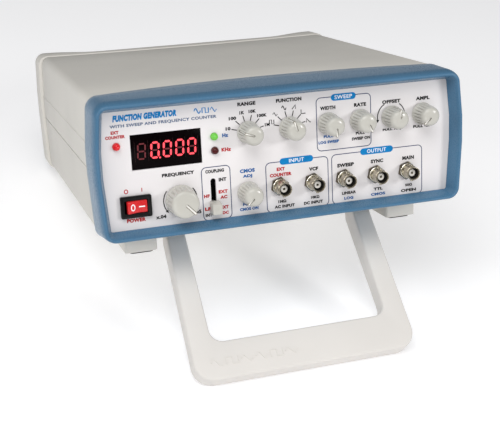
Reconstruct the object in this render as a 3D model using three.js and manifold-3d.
// Bench function generator, standing tilted back on its folding bail.
//
// The instrument is modelled level, in its own frame: X to the right, Y from the front
// to the rear, Z up. Y = 0 is the printed face of the front panel, X = 0 its middle and
// Z = 0 the lower edge of the panel that shows inside the bezel. Last, the whole
// instrument is tilted until it stands on the bail and the rear feet, and moved so that
// the origin is under the middle of its bounding box, on the bench. Millimetres.

import * as THREE from 'three';
import { mergeVertices } from 'three/addons/utils/BufferGeometryUtils.js';
import Module from 'manifold-3d';

const wasm = await Module();
wasm.setup();

// ---------------------------------------------------------------- driving dimensions

const GAP = 0.3; // left between pieces that touch
const ROUND = 12; // flats on a round piece or hole of a few millimetres
const WALL = 3; // moulded plastic wall

// Plastic case: two covers that meet on the lower belt line
const CASE = { half: 129.7, low: -9.1, high: 88.7, bulge: 1.3, radius: 6 };
const BELT_LOW = 36.6; // parting line of the covers
const BELT_HIGH = 54.7; // upper crease of the sides
const CORNER_STEPS = 4;
const EDGE_STEPS = 10;

// Front bezel and panel
const OPENING = { half: 125, low: 0, high: 81.5, bulge: 2.4, radius: 1.5 };
const BEZEL_FRONT = { half: 132.4, low: -6.6, high: 89.2, bulge: 2.1, radius: 10 };
const BEZEL_BACK = { half: 132.4, low: -9.9, high: 89.5, bulge: 2.1, radius: 9 };
const BEZEL_CREST = 11; // how far the crest of the bezel stands in front of the panel
const BEZEL_REACH = 40; // the bezel's rear edge behind the panel, at the middle
const BEZEL_ARC = 464; // plan radius of that rear edge
const PANEL_THICKNESS = 2;
const PANEL_BORDER = 3; // hidden under the bezel on every side

// Rear bezel and panel
const REAR_BEZEL = { half: 132.4, low: -9.9, high: 89.4, bulge: 0.9, radius: 8 };
const REAR_FRONT_EDGE = 245; // front edge at the middle
const REAR_FRONT_ARC = 1063;
const REAR_EDGE = 260; // rear edge at the middle
const REAR_HORN = 17; // how much further back its corners reach
const REAR_PANEL_FACE = 255;
const REAR_LIP = 9;

// Feet, under both covers' corners
const FOOT = { inner: 88.5, outer: 112, length: 44, bottom: -24.6 };
const FOOT_FRONT = 25;
const FOOT_REAR = 205;
const PAD = { size: 17, thickness: 2, recess: 1.2, inset: 1.5 };
const PAD_X = 99.6;
const SCREW_X = 100.2;
const SCREW_FRONT = 62;
const SCREW_REAR = 215;

// Bail: a flat U that folds out to the front
const BAIL_AXIS = { y: 47.2, z: -16 };
const BAIL_ANGLE = THREE.MathUtils.degToRad(42.9); // forward of straight down, when open
const BAIL_FACE = 7; // its front face in front of the axis
const BAIL_LENGTH = 122.5; // axis to the end face
const BAIL_WINDOW = 95; // axis to the inner edge of the cross bar
const BAIL_INNER = 65.3; // half width between the arms
const BAIL_OUTER = { top: 78.7, end: 81.9 };
const BAIL_BACK = { root: 11.8, rootDepth: 8, end: 5.1 };
const BAIL_CORNER = { outer: 14, inner: 9 };
const BAIL_EDGE = 1; // chamfer along the end face
const PIN_RADIUS = 3;
const LUG = { inner: 57, outer: 64.7, radius: 6 };

// Controls: centres on the panel, X and Z
const SMALL_KNOB = { base: 8, front: 5.9, height: 17, bore: 13.3 };
const LARGE_KNOB = { base: 10.9, front: 9.4, height: 15.5, bore: 11.8 };
const KNOB_ROW = 58.3;
const PULL_CONTROLS = {
  width: [33.4, KNOB_ROW],
  rate: [57.4, KNOB_ROW],
  offset: [81.7, KNOB_ROW],
  amplitude: [105.5, KNOB_ROW],
  level: [-27.4, 16],
};
const ROTARY_SWITCHES = { range: [-25.5, KNOB_ROW], function: [4.9, KNOB_ROW] };
const FREQUENCY = [-75.6, 16.5];
const SHAFT_RADIUS = 3;
const JACK_ROW = 17.8;
const JACKS = { counter: -4.3, vcf: 20.5, sweep: 44.2, sync: 68.7, main: 93 };
const LAMPS = { external: [-116.9, 58], hertz: [-49.6, 57.8], kilohertz: [-49.6, 48.1] };
const LAMP_RADIUS = 2.5;
const WINDOW = { x0: -107.5, x1: -58.8, z0: 40.6, z1: 64.8 };
const POWER = { x: -106.8, z: 16.1, frameX: 21.3, frameZ: 15.1, holeX: 19.2, holeZ: 13 };
const ROCKER_TILT = THREE.MathUtils.degToRad(9);
const SLOT = { x: -52, z0: 3, z1: 28.9, width: 3.9 };
const LEVER = { z: 8.5, capX: 7, reach: 8.5 };

// Rear and inside
const INLET = { x: 84, z: 40, flangeX: 31, flangeZ: 34, bodyX: 27, bodyZ: 30 };
const SOCKET = { x: 24.2, z: 16.4, depth: 16, rise: 5.2 };
const DRAWER = { x: 22, z: 7, drop: 10.2 };

// ------------------------------------------------------------------------- finishes

const finish = (color, roughness, metalness = 0) =>
  new THREE.MeshStandardMaterial({ color, roughness, metalness });

const GREY_PLASTIC = finish(0xb5b2ab, 0.6);
const BLUE_PLASTIC = finish(0x54799c, 0.4);
const PANEL_PAINT = finish(0xe6e2e2, 0.5);
const PALE_PLASTIC = finish(0xe1deda, 0.55);
const KNOB_PLASTIC = finish(0xcdcac0, 0.45);
const BLACK_PLASTIC = finish(0x161616, 0.45);
const RED_PLASTIC = finish(0xe23b3b, 0.35);
const RUBBER = finish(0x1b1b1b, 0.85);
const NICKEL = finish(0xc9c7c1, 0.25, 1);
const STEEL = finish(0xa5a7a9, 0.35, 1);
const ALUMINIUM = finish(0xb9bbbd, 0.4, 1);
const CORE_IRON = finish(0x4b4a4c, 0.6, 0.6);
const BOARD_GREEN = finish(0x2f6b3c, 0.6);
const WINDOW_RED = finish(0x1c0505, 0.15);
const DIGIT_RED = finish(0x7d1018, 0.4);
const LAMP_RED = finish(0xd0202a, 0.3);
const LAMP_GREEN = finish(0x58b848, 0.3);
const LAMP_DARK = finish(0x4b0707, 0.3);

// ----------------------------------------------------------------- geometry helpers

const point = (x, y) => new THREE.Vector2(x, y);

// Merges shared corners, drops triangles with no area and turns the faces outward.
function weld(source) {
  const geometry = source.clone();
  geometry.deleteAttribute('normal');
  geometry.deleteAttribute('uv');
  const merged = mergeVertices(geometry, 1e-4);
  const position = merged.attributes.position;
  const corners = [new THREE.Vector3(), new THREE.Vector3(), new THREE.Vector3()];
  const kept = [];
  let volume = 0;
  for (let i = 0; i < merged.index.count; i += 3) {
    const [a, b, c] = [0, 1, 2].map((k) => merged.index.getX(i + k));
    if (a === b || b === c || c === a) continue;
    [a, b, c].forEach((v, k) => corners[k].fromBufferAttribute(position, v));
    volume += corners[0].dot(corners[1].clone().cross(corners[2]));
    kept.push([a, b, c]);
  }
  const turned = volume < 0 ? kept.map(([a, b, c]) => [a, c, b]) : kept;
  merged.setIndex(turned.flat());
  return merged;
}

function toSolid(source) {
  const geometry = weld(source);
  return new wasm.Manifold(new wasm.Mesh({
    numProp: 3,
    vertProperties: new Float32Array(geometry.attributes.position.array),
    triVerts: new Uint32Array(geometry.index.array),
  }));
}

function toGeometry(solid) {
  const mesh = solid.getMesh();
  const geometry = new THREE.BufferGeometry();
  geometry.setAttribute('position', new THREE.BufferAttribute(mesh.vertProperties, 3));
  geometry.setIndex(new THREE.BufferAttribute(mesh.triVerts, 1));
  return geometry;
}

const union = (...solids) => solids.reduce((sum, solid) => sum.add(solid));

const extruded = (shape, depth, curveSegments) =>
  new THREE.ExtrudeGeometry(shape, { depth, bevelEnabled: false, curveSegments });

// A shape from corner points, without the points that lie on a straight edge.
function cornered(points) {
  const corners = points.filter((p, i) => {
    const before = points.at(i - 1);
    const after = points[(i + 1) % points.length];
    return Math.abs(p.clone().sub(before).cross(after.clone().sub(p))) > 1e-6;
  });
  return new THREE.Shape(corners);
}

const asShape = (outline) => (outline instanceof THREE.Shape ? outline : cornered(outline));

// Prisms: an outline in the plane across the named axis, between two places on it.
function prismY(outline, y0, y1, curveSegments = 3) {
  const geometry = extruded(asShape(outline), y1 - y0, curveSegments);
  geometry.rotateX(Math.PI / 2);
  geometry.translate(0, y1, 0);
  return toSolid(geometry);
}

function prismZ(outline, z0, z1, curveSegments = 3) {
  const geometry = extruded(asShape(outline), z1 - z0, curveSegments);
  geometry.translate(0, 0, z0);
  return toSolid(geometry);
}

// The outline's two axes are Y and Z.
function prismX(outline, x0, x1, curveSegments = 3) {
  const geometry = extruded(asShape(outline), x1 - x0, curveSegments);
  geometry.rotateX(Math.PI / 2);
  geometry.rotateZ(Math.PI / 2);
  geometry.translate(x0, 0, 0);
  return toSolid(geometry);
}

function block(x0, x1, y0, y1, z0, z1) {
  const geometry = new THREE.BoxGeometry(x1 - x0, y1 - y0, z1 - z0);
  geometry.translate((x0 + x1) / 2, (y0 + y1) / 2, (z0 + z1) / 2);
  return toSolid(geometry);
}

// A round bar along X, Y or Z, given as its middle and the span along its axis.
function bar(axis, middle, radius, from, to, segments = ROUND) {
  const geometry = new THREE.CylinderGeometry(radius, radius, to - from, segments);
  if (axis === 'x') geometry.rotateZ(Math.PI / 2);
  if (axis === 'z') geometry.rotateX(Math.PI / 2);
  geometry.translate(...middle);
  const along = { x: 0, y: 0, z: 0 };
  along[axis] = (from + to) / 2;
  geometry.translate(along.x, along.y, along.z);
  return toSolid(geometry);
}

// A turned piece whose axis points out of the panel: each profile point is a radius
// and a distance in front of the panel's face.
function turned(profile, segments) {
  const geometry = new THREE.LatheGeometry(profile.map(([r, t]) => point(r, t)), segments);
  geometry.rotateX(Math.PI);
  return toSolid(geometry);
}

function roundedRectangle(width, height, radius) {
  const [x, y] = [width / 2, height / 2];
  const shape = new THREE.Shape();
  shape.moveTo(-x + radius, -y);
  shape.lineTo(x - radius, -y);
  shape.absarc(x - radius, -y + radius, radius, -Math.PI / 2, 0);
  shape.lineTo(x, y - radius);
  shape.absarc(x - radius, y - radius, radius, 0, Math.PI / 2);
  shape.lineTo(-x + radius, y);
  shape.absarc(-x + radius, y - radius, radius, Math.PI / 2, Math.PI);
  shape.lineTo(-x, -y + radius);
  shape.absarc(-x + radius, -y + radius, radius, Math.PI, Math.PI * 1.5);
  return shape;
}

// The barrel section that the case, bezels and panels share: round corners, flat top
// and bottom, and sides that swell between the two belt lines. Every outline has its
// points in the same order, so that outlines can be lofted.
function barrel({ half, low, high, bulge, radius }, inset = 0) {
  const [w, z0, z1] = [half - inset, low + inset, high - inset];
  const r = Math.max(radius - inset, 1);
  const points = [];
  const corner = (x, z, start) => {
    for (let i = 0; i <= CORNER_STEPS; i++) {
      const angle = start + (Math.PI / 2) * (i / CORNER_STEPS);
      points.push(point(x + r * Math.cos(angle), z + r * Math.sin(angle)));
    }
  };
  const edge = (from, to, z) => {
    for (let i = 1; i < EDGE_STEPS; i++) {
      points.push(point(THREE.MathUtils.lerp(from, to, i / EDGE_STEPS), z));
    }
  };
  corner(w - r, z0 + r, -Math.PI / 2);
  points.push(point(w + bulge, BELT_LOW), point(w + bulge, BELT_HIGH));
  corner(w - r, z1 - r, 0);
  edge(w - r, -w + r, z1);
  corner(-w + r, z1 - r, Math.PI / 2);
  points.push(point(-w - bulge, BELT_HIGH), point(-w - bulge, BELT_LOW));
  corner(-w + r, z0 + r, Math.PI);
  edge(-w + r, w - r, z0);
  return points;
}

const blend = (a, b, t) => Object.fromEntries(
  Object.keys(a).map((key) => [key, THREE.MathUtils.lerp(a[key], b[key], t)]),
);

// A ring of wall: each entry is a barrel outline and its place in depth, which may
// depend on X. The last entry joins the first again.
function ringLoft(sections) {
  const rings = sections.map(([outline, depth]) => outline.map((p) => [
    p.x, typeof depth === 'function' ? depth(p.x) : depth, p.y,
  ]));
  const count = rings[0].length;
  const index = [];
  rings.forEach((ring, i) => {
    const next = (i + 1) % rings.length;
    for (let j = 0; j < count; j++) {
      const k = (j + 1) % count;
      const [a, b] = [i * count + j, i * count + k];
      const [c, d] = [next * count + j, next * count + k];
      index.push(a, b, d, a, d, c);
    }
  });
  const geometry = new THREE.BufferGeometry();
  geometry.setAttribute('position', new THREE.Float32BufferAttribute(rings.flat(2), 3));
  geometry.setIndex(index);
  return toSolid(geometry);
}

// ------------------------------------------------------------------ case and panels

const bezelBackEdge = (x) => BEZEL_REACH - (x * x) / (2 * BEZEL_ARC);
const rearFrontEdge = (x) => REAR_FRONT_EDGE + (x * x) / (2 * REAR_FRONT_ARC);
const rearBackEdge = (x) =>
  REAR_EDGE + REAR_HORN * THREE.MathUtils.smoothstep(Math.abs(x), 78, 122);

function frontBezel() {
  const face = (t) => barrel(blend(OPENING, BEZEL_FRONT, t));
  const skirt = barrel(BEZEL_BACK, WALL);
  const ring = ringLoft([
    [face(0), -GAP],
    [face(0.2), -4.5],
    [face(0.4), -BEZEL_CREST + 1],
    [face(0.55), -BEZEL_CREST],
    [face(0.74), -BEZEL_CREST + 0.9],
    [face(0.9), -BEZEL_CREST + 3.4],
    [face(1), -BEZEL_CREST + 8],
    [barrel(BEZEL_BACK), bezelBackEdge],
    [skirt, bezelBackEdge],
    [barrel(BEZEL_FRONT, WALL + 0.4), -GAP],
  ]);
  // Tabs that reach back inside the covers
  const tab = (x, z0, z1, root) => union(
    block(x - 9, x + 9, 12, 24, Math.min(z0, root), Math.max(z1, root)),
    block(x - 9, x + 9, 23, 44, z0, z1),
  );
  const top = CASE.high - WALL - 0.5;
  const tabs = [-98, 98].map((x) => tab(x, top - 2.5, top, 87.6));
  return union(ring, ...tabs);
}

function frontPanel() {
  const border = { ...OPENING, radius: 3 };
  const plate = prismY(barrel(border, -PANEL_BORDER), 0, PANEL_THICKNESS);
  const roundHole = (x, z, r) => bar('y', [x, 0, z], r, -1, PANEL_THICKNESS + 1);
  const squareHole = (x0, x1, z0, z1) => block(x0, x1, -1, PANEL_THICKNESS + 1, z0, z1);
  const slotRadius = SLOT.width / 2;
  const slotEnds = [SLOT.z0 + slotRadius, SLOT.z1 - slotRadius];
  const controls = { ...PULL_CONTROLS, ...ROTARY_SWITCHES, frequency: FREQUENCY };
  const holes = [
    ...Object.values(controls).map(([x, z]) => roundHole(x, z, 4.5)),
    ...Object.values(JACKS).map((x) => roundHole(x, JACK_ROW, 5.1)),
    ...Object.values(LAMPS).map(([x, z]) => roundHole(x, z, LAMP_RADIUS + GAP)),
    squareHole(WINDOW.x0, WINDOW.x1, WINDOW.z0, WINDOW.z1),
    squareHole(POWER.x - POWER.holeX / 2, POWER.x + POWER.holeX / 2,
      POWER.z - POWER.holeZ / 2, POWER.z + POWER.holeZ / 2),
    squareHole(SLOT.x - slotRadius, SLOT.x + slotRadius, ...slotEnds),
    ...slotEnds.map((z) => roundHole(SLOT.x, z, slotRadius)),
  ];
  return holes.reduce((solid, hole) => solid.subtract(hole), plate);
}

// Plan of the covers, between the arched edges of the two bezels.
function coverPlan(from = -140, to = 140) {
  const points = [];
  const steps = 12;
  for (let i = 0; i <= steps; i++) {
    const x = THREE.MathUtils.lerp(from, to, i / steps);
    points.push(point(x, bezelBackEdge(x) + GAP));
  }
  for (let i = steps; i >= 0; i--) {
    const x = THREE.MathUtils.lerp(from, to, i / steps);
    points.push(point(x, rearFrontEdge(x) - GAP));
  }
  return points;
}

function caseShell() {
  const outer = prismY(barrel(CASE), 0, 280);
  const inner = prismY(barrel(CASE, WALL), -1, 281);
  return outer.subtract(inner);
}

const SCREW_PLACES = {
  front_left: [-SCREW_X, SCREW_FRONT],
  front_right: [SCREW_X, SCREW_FRONT],
  rear_left: [-SCREW_X, SCREW_REAR],
  rear_right: [SCREW_X, SCREW_REAR],
};
const POST_JOINT = 20; // where the posts of the two covers meet

function topCover() {
  const plan = prismZ(coverPlan(), BELT_LOW + GAP, 100);
  const posts = Object.values(SCREW_PLACES).map(([x, y]) => bar(
    'z', [x, y, 0], 5, POST_JOINT + GAP, CASE.high - 1,
  ));
  const bores = Object.values(SCREW_PLACES).map(([x, y]) => bar(
    'z', [x, y, 0], 2.4, POST_JOINT - 1, POST_JOINT + 15,
  ));
  const cover = union(caseShell().intersect(plan), ...posts);
  return bores.reduce((solid, bore) => solid.subtract(bore), cover);
}

// Room for a folded arm, cut into the floor of the bottom cover.
const WELL = [[37.5, -12], [37.5, -5], [48, -2.8], [58, -3], [152, -8.8], [152, -12]];

function footBlock(side, front) {
  const [x0, x1] = side > 0 ? [FOOT.inner, FOOT.outer] : [-FOOT.outer, -FOOT.inner];
  const shape = roundedRectangle(x1 - x0, FOOT.length, 2);
  const foot = prismZ(shape, FOOT.bottom, CASE.low - 1.2)
    .translate([(x0 + x1) / 2, front + FOOT.length / 2, 0]);
  const neck = block(x0 + 1, x1 - 1, front + 4, front + FOOT.length, CASE.low - 2, CASE.low + 1);
  return union(foot, neck.intersect(prismZ(coverPlan(), -20, 0)));
}

const padCentre = (front, atRear) =>
  (atRear ? front + FOOT.length - PAD.inset - PAD.size / 2 : front + PAD.inset + PAD.size / 2);

function bottomCover() {
  const plan = prismZ(coverPlan(), -20, BELT_LOW);
  let cover = caseShell().intersect(plan);
  for (const side of [-1, 1]) {
    const across = (a, b) => (side > 0 ? [a, b] : [-b, -a]);
    cover = cover.add(block(...across(62, 86), 43, 154.5, CASE.low + 0.5, -0.5));
    cover = cover.subtract(prismX(WELL.map(([y, z]) => point(y, z)), ...across(64.4, 83.8)));
    // Lug that carries the pivot pin, and the stop that the open bail leans on
    const lug = union(
      bar('x', [0, BAIL_AXIS.y, BAIL_AXIS.z], LUG.radius, ...across(LUG.inner, LUG.outer)),
      block(...across(LUG.inner, LUG.outer), BAIL_AXIS.y - 6, BAIL_AXIS.y + 6, BAIL_AXIS.z, -7),
    );
    cover = cover.add(lug);
    cover = cover.subtract(
      bar('x', [0, BAIL_AXIS.y, BAIL_AXIS.z], PIN_RADIUS + 0.1, ...across(50, 66)),
    );
    for (const [front, atRear] of [[FOOT_FRONT, false], [FOOT_REAR, true]]) {
      cover = cover.add(footBlock(side, front));
      const recess = prismZ(roundedRectangle(PAD.size + 0.6, PAD.size + 0.6, 3),
        FOOT.bottom - 1, FOOT.bottom + PAD.recess);
      cover = cover.subtract(recess.translate([side * PAD_X, padCentre(front, atRear), 0]));
    }
  }
  for (const [x, y] of Object.values(SCREW_PLACES)) {
    cover = cover.add(bar('z', [x, y, 0], 5, CASE.low + 1, POST_JOINT));
    cover = cover.subtract(bar('z', [x, y, 0], 2.4, -30, POST_JOINT + 1));
    cover = cover.subtract(bar('z', [x, y, 0], 4.4, -30, FOOT.bottom + 8));
  }
  return cover;
}

function caseScrew() {
  const bottom = FOOT.bottom + 4.6;
  const head = bar('z', [0, 0, 0], 3.9, bottom, bottom + 3);
  const shank = bar('z', [0, 0, 0], 2, bottom + 2, POST_JOINT + 13);
  const recess = union(
    block(-2.2, 2.2, -0.5, 0.5, bottom - 1, bottom + 1.6),
    block(-0.5, 0.5, -2.2, 2.2, bottom - 1, bottom + 1.6),
  );
  return union(head, shank).subtract(recess);
}

function footPad() {
  const z0 = FOOT.bottom + PAD.recess - GAP - PAD.thickness;
  return prismZ(roundedRectangle(PAD.size, PAD.size, 2.7), z0, z0 + PAD.thickness);
}

function rearBezel() {
  const outer = barrel(REAR_BEZEL);
  return ringLoft([
    [outer, rearFrontEdge],
    [outer, (x) => rearBackEdge(x) - 1.5],
    [barrel(REAR_BEZEL, 1.5), rearBackEdge],
    [barrel(REAR_BEZEL, WALL), rearBackEdge],
    [barrel(REAR_BEZEL, WALL + 1), REAR_PANEL_FACE + 2.8],
    [barrel(REAR_BEZEL, REAR_LIP), REAR_PANEL_FACE + 2.5],
    [barrel(REAR_BEZEL, REAR_LIP), REAR_PANEL_FACE + GAP],
    [barrel(REAR_BEZEL, WALL), REAR_PANEL_FACE + GAP],
    [barrel(REAR_BEZEL, WALL), rearFrontEdge],
  ]);
}

const VENT = { count: 11, pitch: 9, width: 3, x0: -104, z0: 24, z1: 58 };

function rearPanel() {
  const [front, face] = [REAR_PANEL_FACE - 2, REAR_PANEL_FACE];
  let plate = prismY(barrel(REAR_BEZEL, WALL + 0.5), front, face);
  for (let i = 0; i < VENT.count; i++) {
    const x = VENT.x0 + i * VENT.pitch;
    plate = plate.subtract(block(x, x + VENT.width, front - 1, face + 1, VENT.z0, VENT.z1));
  }
  const [w, h] = [INLET.bodyX / 2 + 0.4, INLET.bodyZ / 2 + 0.4];
  return plate.subtract(block(INLET.x - w, INLET.x + w, front - 1, face + 1,
    INLET.z - h, INLET.z + h));
}

// ------------------------------------------------------------------------------ bail

// The bail in its own frame: pivot axis on X, arms straight down, front face to -Y.
function bailHandle() {
  const top = BAIL_FACE;
  const { outer: R, inner: r } = BAIL_CORNER;
  const shoulder = BAIL_OUTER.end - R;
  const window = BAIL_INNER - r;
  const face = new THREE.Shape();
  face.moveTo(-BAIL_OUTER.top, top);
  face.lineTo(-BAIL_OUTER.end, -BAIL_LENGTH + R);
  face.absarc(-shoulder, -BAIL_LENGTH + R, R, Math.PI, Math.PI * 1.5);
  face.lineTo(shoulder, -BAIL_LENGTH);
  face.absarc(shoulder, -BAIL_LENGTH + R, R, -Math.PI / 2, 0);
  face.lineTo(BAIL_OUTER.top, top);
  face.lineTo(BAIL_INNER, top);
  face.lineTo(BAIL_INNER, -BAIL_WINDOW + r);
  face.absarc(window, -BAIL_WINDOW + r, r, 0, -Math.PI / 2, true);
  face.lineTo(-window, -BAIL_WINDOW);
  face.absarc(-window, -BAIL_WINDOW + r, r, -Math.PI / 2, -Math.PI, true);
  face.lineTo(-BAIL_INNER, top);
  const side = new THREE.Shape();
  side.moveTo(-BAIL_FACE, -BAIL_LENGTH + BAIL_EDGE);
  side.lineTo(-BAIL_FACE + BAIL_EDGE, -BAIL_LENGTH);
  side.lineTo(BAIL_BACK.end - BAIL_EDGE, -BAIL_LENGTH);
  side.lineTo(BAIL_BACK.end, -BAIL_LENGTH + BAIL_EDGE);
  side.lineTo(BAIL_BACK.root, -BAIL_BACK.rootDepth);
  side.lineTo(BAIL_FACE, 0);
  side.absarc(0, 0, BAIL_FACE, 0, Math.PI);
  const solid = prismY(face, -20, 20, 6).intersect(prismX(side, -100, 100, 8));
  const bores = [-1, 1].map((s) => bar('x', [0, 0, 0], PIN_RADIUS + GAP,
    Math.min(s * 60, s * 74.5), Math.max(s * 60, s * 74.5)));
  return bores.reduce((piece, bore) => piece.subtract(bore), solid);
}

function bailPin(side) {
  const span = (a, b) => (side > 0 ? [a, b] : [-b, -a]);
  return union(
    bar('x', [0, 0, 0], PIN_RADIUS, ...span(55, 74)),
    bar('x', [0, 0, 0], 4.6, ...span(54.2, LUG.inner - GAP)),
  );
}

// -------------------------------------------------------------------------- controls

function smallKnob() {
  const { base, front, height, bore } = SMALL_KNOB;
  return turned([
    [0, bore], [SHAFT_RADIUS + GAP, bore], [SHAFT_RADIUS + GAP, 5.4], [5.3, 5.4], [5.3, 0.8],
    [base, 0.8], [base, 2.2], [7.1, height - 3.2], [6.7, height - 1.6], [front, height - 0.5],
    [front - 2.2, height], [0, height],
  ], 16);
}

function largeKnob() {
  const { base, front, height, bore } = LARGE_KNOB;
  return turned([
    [0, bore], [SHAFT_RADIUS + GAP, bore], [SHAFT_RADIUS + GAP, 5.4], [6, 5.4], [6, 0.8],
    [base, 0.8], [base, 2.5], [front + 0.6, height - 2.4], [front, height - 0.6],
    [front - 1.2, height], [0, height],
  ], 20);
}

function controlShaft(reach) {
  return bar('y', [0, 0, 0], SHAFT_RADIUS, -reach + GAP + 0.2, 9);
}

// A potentiometer or switch: its can behind the panel and its threaded bush through it.
function controlBody(radius, depth) {
  return turned([
    [SHAFT_RADIUS + GAP, 4.8], [4.2, 4.8], [4.2, -PANEL_THICKNESS - GAP],
    [radius, -PANEL_THICKNESS - GAP], [radius, -PANEL_THICKNESS - GAP - depth],
    [0, -PANEL_THICKNESS - GAP - depth], [0, -10], [SHAFT_RADIUS + GAP, -10],
    [SHAFT_RADIUS + GAP, 4.8],
  ], ROUND);
}

function coaxialJack() {
  const insulator = 8.3;
  const shell = turned([
    [0, insulator], [3.9, insulator], [4.1, 13.5], [4.8, 13.5], [4.8, 2.9], [6.9, 2.9],
    [6.9, 0.5], [4.7, 0.5], [4.7, -2.4], [6.2, -2.4], [6.2, -10], [2, -10], [2, -13], [0, -13],
  ], ROUND);
  const lugs = bar('z', [0, -9.6, 0], 1.1, -5.9, 5.9, 8);
  const bore = turned([[0, insulator], [3.9, insulator], [4.1, 14], [0, 14]], ROUND);
  return shell.add(lugs).subtract(bore);
}

function lamp() {
  return turned([
    [0, 3.6], [1.3, 3.25], [2.2, 2.2], [LAMP_RADIUS, 0.9], [LAMP_RADIUS, -2.4], [2.9, -2.4],
    [2.9, -3.4], [0, -3.4],
  ], 12);
}

function powerSwitchBody() {
  const frame = prismY(roundedRectangle(POWER.frameX, POWER.frameZ, 1), -2.2, -GAP);
  const body = block(-9.2, 9.2, -1, 15, -6.1, 6.1);
  const pocket = block(-8, 8, -3, 7.5, -5.4, 5.4);
  return union(frame, body).subtract(pocket);
}

// The rocker turns about Z; its origin is the pivot, 1 mm behind the panel's face.
function powerRocker() {
  const section = [
    [-7, -4.6], [0, -3.4], [7, -4.6], [7, -1.5], [3.5, 3.4], [-3.5, 3.4], [-7, -1.5],
  ];
  return prismZ(section.map(([x, y]) => point(x, y)), -4.85, 4.85);
}

function couplingSwitchBody() {
  const back = PANEL_THICKNESS + GAP;
  const body = block(-6, 6, back, 9, SLOT.z0 - 3.5, SLOT.z1 + 3.5);
  const channel = block(-2.1, 2.1, back - 1, 7.5, SLOT.z0 - 0.4, SLOT.z1 + 0.4);
  return body.subtract(channel);
}

function couplingLever() {
  const cap = [[-0.6, -4.9], [-LEVER.reach, -3.6], [-LEVER.reach, 3.6], [-0.6, 4.9]];
  return union(
    prismX(cap.map(([y, z]) => point(y, z)), -LEVER.capX / 2, LEVER.capX / 2),
    block(-1.65, 1.65, -1, 6.8, -3.6, 3.6),
  );
}

const displayWindow = () => block(WINDOW.x0 + GAP, WINDOW.x1 - GAP, 0.3, 2.2,
  WINDOW.z0 + GAP, WINDOW.z1 - GAP);

const displayModule = () => block(WINDOW.x0 + 1.5, WINDOW.x1 - 1.5, 2.8, 12,
  WINDOW.z0 + 1.5, WINDOW.z1 - 1.5);

// ------------------------------------------------------------------- rear and inside

// The mains inlet in its own frame: its middle on the outer face of the rear panel.
function mainsInlet() {
  const face = 3;
  const socket = (inset) => {
    const [w, h, cut] = [SOCKET.x / 2 - inset, SOCKET.z / 2 - inset, 4];
    return [[-w, -h], [w, -h], [w, h - cut], [w - cut, h], [-w + cut, h], [-w, h - cut]]
      .map(([x, z]) => point(x, z + SOCKET.rise));
  };
  const flange = prismY(roundedRectangle(INLET.flangeX, INLET.flangeZ, 2), GAP, face);
  const body = block(-INLET.bodyX / 2, INLET.bodyX / 2, -22, 1, -INLET.bodyZ / 2,
    INLET.bodyZ / 2);
  const recess = prismY(socket(0), face - SOCKET.depth, face + 1);
  const bay = block(-DRAWER.x / 2, DRAWER.x / 2, -18, face + 1,
    -DRAWER.drop - DRAWER.z / 2, -DRAWER.drop + DRAWER.z / 2);
  const blade = (x, z) => block(x - 1, x + 1, -face - 12, -3, z - 2, z + 2);
  return union(
    union(flange, body).subtract(recess).subtract(bay),
    blade(-7, SOCKET.rise - 1.5),
    blade(7, SOCKET.rise - 1.5),
    blade(0, SOCKET.rise + 2.5),
  );
}

function fuseDrawer() {
  return union(
    block(-DRAWER.x / 2 + GAP, DRAWER.x / 2 - GAP, -17, 3.4,
      -DRAWER.drop - DRAWER.z / 2 + GAP, -DRAWER.drop + DRAWER.z / 2 - GAP),
    block(-4, 4, 3, 5, -DRAWER.drop - 1.2, -DRAWER.drop + 1.2),
  );
}

function transformer() {
  return union(
    block(-33, 33, -28, 28, 0, 46),
    block(-20, 20, -36, 36, 8, 38),
  );
}

// -------------------------------------------------------------------------- assembly

const instrument = new THREE.Group();

function place(name, solid, material, position = [0, 0, 0]) {
  const mesh = new THREE.Mesh(toGeometry(solid), material);
  mesh.name = name;
  mesh.position.set(...position);
  instrument.add(mesh);
  return mesh;
}

place('top_cover', topCover(), GREY_PLASTIC);
place('bottom_cover', bottomCover(), GREY_PLASTIC);
place('front_bezel', frontBezel(), BLUE_PLASTIC);
place('front_panel', frontPanel(), PANEL_PAINT);
place('rear_bezel', rearBezel(), GREY_PLASTIC);
place('rear_panel', rearPanel(), ALUMINIUM);

const bail = place('bail_handle', bailHandle(), PALE_PLASTIC, [0, BAIL_AXIS.y, BAIL_AXIS.z]);
bail.rotation.x = -BAIL_ANGLE;
place('bail_pin_left', bailPin(-1), STEEL, [0, BAIL_AXIS.y, BAIL_AXIS.z]);
place('bail_pin_right', bailPin(1), STEEL, [0, BAIL_AXIS.y, BAIL_AXIS.z]);

for (const [name, side, front, atRear] of [
  ['front_left', -1, FOOT_FRONT, false], ['front_right', 1, FOOT_FRONT, false],
  ['rear_left', -1, FOOT_REAR, true], ['rear_right', 1, FOOT_REAR, true],
]) {
  place(`foot_pad_${name}`, footPad(), RUBBER, [side * PAD_X, padCentre(front, atRear), 0]);
}
for (const [name, [x, y]] of Object.entries(SCREW_PLACES)) {
  place(`case_screw_${name}`, caseScrew(), STEEL, [x, y, 0]);
}

place('display_window', displayWindow(), WINDOW_RED);
place('display_module', displayModule(), DIGIT_RED);
const LAMP_FINISH = { external: LAMP_RED, hertz: LAMP_GREEN, kilohertz: LAMP_DARK };
for (const [name, [x, z]] of Object.entries(LAMPS)) {
  place(`${name}_led`, lamp(), LAMP_FINISH[name], [x, 0, z]);
}

place('power_switch_body', powerSwitchBody(), BLACK_PLASTIC, [POWER.x, 0, POWER.z]);
const rocker = place('power_rocker', powerRocker(), RED_PLASTIC, [POWER.x, 1, POWER.z]);
rocker.rotation.z = ROCKER_TILT;
place('coupling_switch_body', couplingSwitchBody(), BLACK_PLASTIC, [SLOT.x, 0, 0]);
place('coupling_lever', couplingLever(), KNOB_PLASTIC, [SLOT.x, 0, LEVER.z]);

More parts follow.
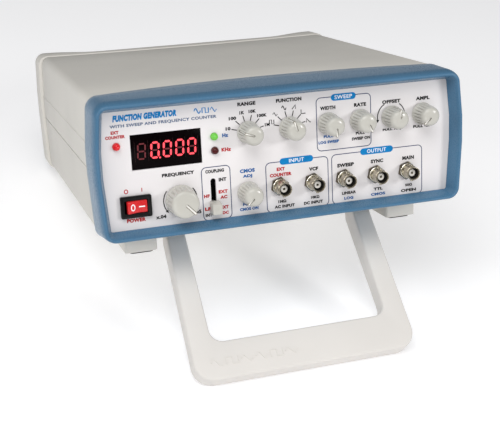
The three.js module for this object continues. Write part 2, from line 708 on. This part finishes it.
for (const [name, [x, z]] of Object.entries(PULL_CONTROLS)) {
  place(`${name}_knob`, smallKnob(), KNOB_PLASTIC, [x, 0, z]);
  place(`${name}_shaft`, controlShaft(SMALL_KNOB.bore), STEEL, [x, 0, z]);
  place(`${name}_pot`, controlBody(8.2, 12), STEEL, [x, 0, z]);
}
for (const [name, [x, z]] of Object.entries(ROTARY_SWITCHES)) {
  place(`${name}_knob`, smallKnob(), KNOB_PLASTIC, [x, 0, z]);
  place(`${name}_shaft`, controlShaft(SMALL_KNOB.bore), STEEL, [x, 0, z]);
  place(`${name}_switch`, controlBody(12, 13), BLACK_PLASTIC, [x, 0, z]);
}
const [frequencyX, frequencyZ] = FREQUENCY;
place('frequency_knob', largeKnob(), KNOB_PLASTIC, [frequencyX, 0, frequencyZ]);
place('frequency_shaft', controlShaft(LARGE_KNOB.bore), STEEL, [frequencyX, 0, frequencyZ]);
place('frequency_pot', controlBody(11.5, 12), STEEL, [frequencyX, 0, frequencyZ]);

for (const [name, x] of Object.entries(JACKS)) {
  place(`${name}_jack`, coaxialJack(), NICKEL, [x, 0, JACK_ROW]);
}

place('control_board', block(-90, 118, 20, 21.6, 2, 80), BOARD_GREEN);
place('main_board', block(-118, 28, 72, 206, 6, 7.6), BOARD_GREEN);
place('transformer', transformer(), CORE_IRON, [72, 178, 0]);
const inletPlace = [INLET.x, REAR_PANEL_FACE, INLET.z];
place('mains_inlet', mainsInlet(), BLACK_PLASTIC, inletPlace);
place('fuse_drawer', fuseDrawer(), BLACK_PLASTIC, inletPlace);

// --------------------------------------------------------------- standing on the bench

// Height of a mesh's lowest corner once the instrument is tilted back.
function lowest(name, tilt) {
  const mesh = instrument.getObjectByName(name);
  mesh.updateMatrix();
  const position = mesh.geometry.attributes.position;
  const corner = new THREE.Vector3();
  let low = Infinity;
  for (let i = 0; i < position.count; i++) {
    corner.fromBufferAttribute(position, i).applyMatrix4(mesh.matrix);
    low = Math.min(low, corner.z * Math.cos(tilt) - corner.y * Math.sin(tilt));
  }
  return low;
}

// The tilt at which the bail and the rear pads reach equally low.
function standingTilt() {
  let [level, steep] = [0, Math.PI / 4];
  while (steep - level > 1e-7) {
    const tilt = (level + steep) / 2;
    const bailIsLower = lowest('bail_handle', tilt) < lowest('foot_pad_rear_left', tilt);
    [level, steep] = bailIsLower ? [tilt, steep] : [level, tilt];
  }
  return level;
}

instrument.rotation.x = -standingTilt();

const group = new THREE.Group();
group.add(instrument);
group.updateMatrixWorld(true);
const box = new THREE.Box3().setFromObject(group, true);
instrument.position.set(-(box.min.x + box.max.x) / 2, -(box.min.y + box.max.y) / 2, -box.min.z);

export default group;
